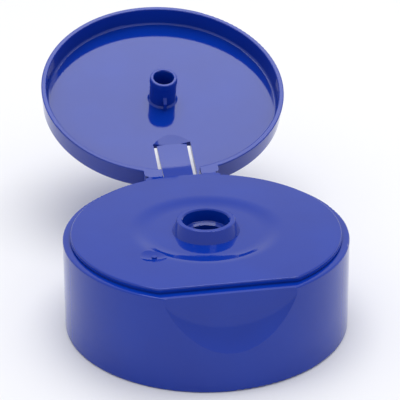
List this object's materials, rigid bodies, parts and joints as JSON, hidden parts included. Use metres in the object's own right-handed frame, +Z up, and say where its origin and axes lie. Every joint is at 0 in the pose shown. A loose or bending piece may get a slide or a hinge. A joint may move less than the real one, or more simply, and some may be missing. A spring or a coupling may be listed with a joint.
{
  "type": "flip top cap",
  "caption": "One-piece blue polypropylene flip top cap with a snap-hinged round lid, a conical spout and a thumb recess.",
  "frame": {"origin": "centre of the rim that the base stands on, on the axis of the neck thread", "axes": "+Z up out of the spout, -Y towards the thumb recess, +Y towards the hinge"},
  "size_m": [0.0506, 0.0985, 0.0368],
  "materials": {
    "polypropylene": "glossy royal blue, moulded"
  },
  "bodies": {
    "base": {"cap_base": "polypropylene", "film_hinge_left": "polypropylene", "film_hinge_right": "polypropylene", "hinge_strap": "polypropylene"},
    "lid": {"flip_lid": "polypropylene"}
  },
  "joints": [
    {"name": "lid_hinge", "type": "hinge", "parent": "base", "child": "lid", "pos_m": [0, 0.0255, 0.01685], "axis": [1, 0, 0], "range_deg": [0, 156.5], "deforming": ["film_hinge_left", "film_hinge_right", "hinge_strap"]}
  ]
}
